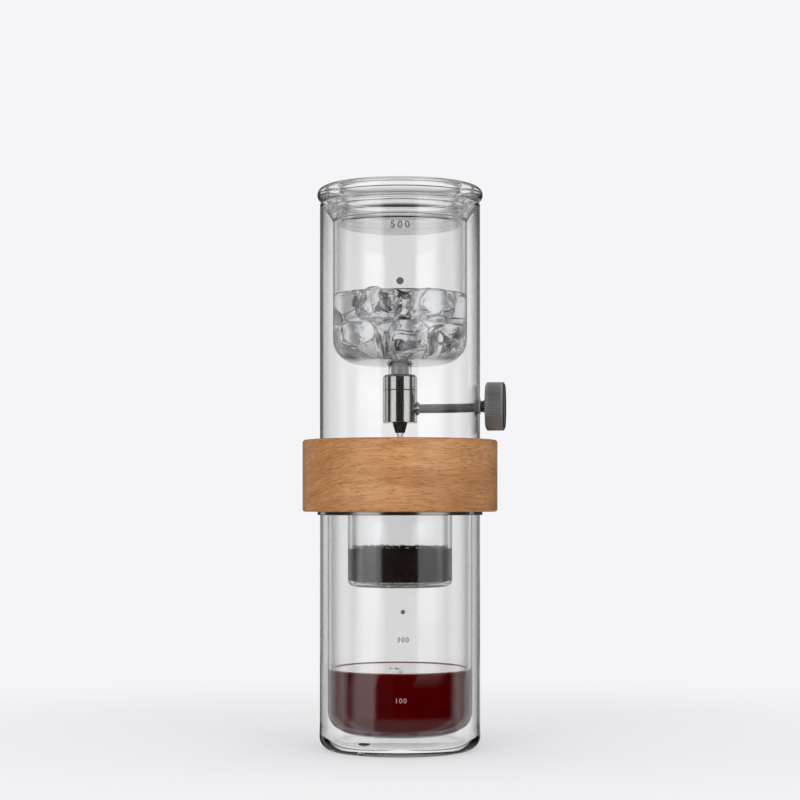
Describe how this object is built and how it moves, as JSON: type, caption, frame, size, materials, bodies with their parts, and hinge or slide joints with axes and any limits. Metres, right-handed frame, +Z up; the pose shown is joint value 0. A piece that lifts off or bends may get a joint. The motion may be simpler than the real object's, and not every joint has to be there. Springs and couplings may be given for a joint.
{
  "type": "cold drip coffee tower",
  "caption": "Tall glass cold drip coffee maker: double-walled server, wooden collar with a hanging dripper, ice vessel with a steel needle valve and side knob, glass lid.",
  "frame": {"origin": "centre of the server's flat underside, on the tower's axis", "axes": "+Z up along the tower's axis, +X along the valve's stem towards the knob"},
  "size_m": [0.1215, 0.1168, 0.3365],
  "materials": {
    "clear_glass": "clear and polished",
    "silicone": "satin, translucent white",
    "dark_rubber": "matt",
    "maple": "oiled, fine grain",
    "polished_steel": "polished",
    "plain_steel": "fine brushed",
    "dark_anodised": "dark anodised, knurled",
    "white_polymer": "matt white",
    "water": "clear liquid",
    "ice": "clear, wet",
    "coffee": "clear dark liquid",
    "wet_grounds": "rough, granular"
  },
  "bodies": {
    "server": {"server_glass": "clear_glass", "server_vent_plug": "dark_rubber", "brewed_coffee": "coffee"},
    "collar": {"server_gasket": "silicone", "collar_liner": "polished_steel", "wood_ring": "maple"},
    "dripper": {"dripper_glass": "clear_glass", "dripper_gasket": "silicone", "filter_rim": "silicone", "filter_disc": "plain_steel", "coffee_grounds": "wet_grounds"},
    "upper_vessel": {"upper_glass": "clear_glass", "steeping_water": "water", "ice_cubes": "ice", "outlet_seal": "silicone", "inlet_strainer": "polished_steel", "valve_cap": "polished_steel", "valve_gasket": "silicone", "valve_body": "polished_steel", "valve_seat": "white_polymer", "valve_nozzle": "polished_steel", "water_drop": "water", "stem_o_ring": "dark_rubber", "gland_bush": "polished_steel", "stem_grommet": "silicone"},
    "needle": {"valve_needle": "polished_steel"},
    "knob": {"valve_stem": "polished_steel", "knob_collar": "dark_anodised", "valve_knob": "dark_anodised"},
    "lid": {"lid_glass": "clear_glass"}
  },
  "joints": [
    {"name": "collar_lift", "type": "slide", "parent": "server", "child": "collar", "axis": [0, 0, 1], "range_m": [0, 0.07]},
    {"name": "dripper_lift", "type": "slide", "parent": "collar", "child": "dripper", "axis": [0, 0, 1], "range_m": [0, 0.095]},
    {"name": "upper_lift", "type": "slide", "parent": "dripper", "child": "upper_vessel", "axis": [0, 0, 1], "range_m": [0, 0.045]},
    {"name": "lid_lift", "type": "slide", "parent": "upper_vessel", "child": "lid", "axis": [0, 0, 1], "range_m": [0, 0.03]},
    {"name": "knob_turn", "type": "hinge", "parent": "upper_vessel", "child": "knob", "pos_m": [0.0573, 0, 0.20525], "axis": [1, 0, 0], "range_deg": [-288, 720]},
    {"name": "needle_slide", "type": "slide", "parent": "upper_vessel", "child": "needle", "axis": [1, 0, 0], "range_m": [-0.00041, 0.00101]}
  ],
  "couplings": [
    {"joint": "needle_slide", "follows": "knob_turn", "m_per_rad": 0.000079577}
  ]
}
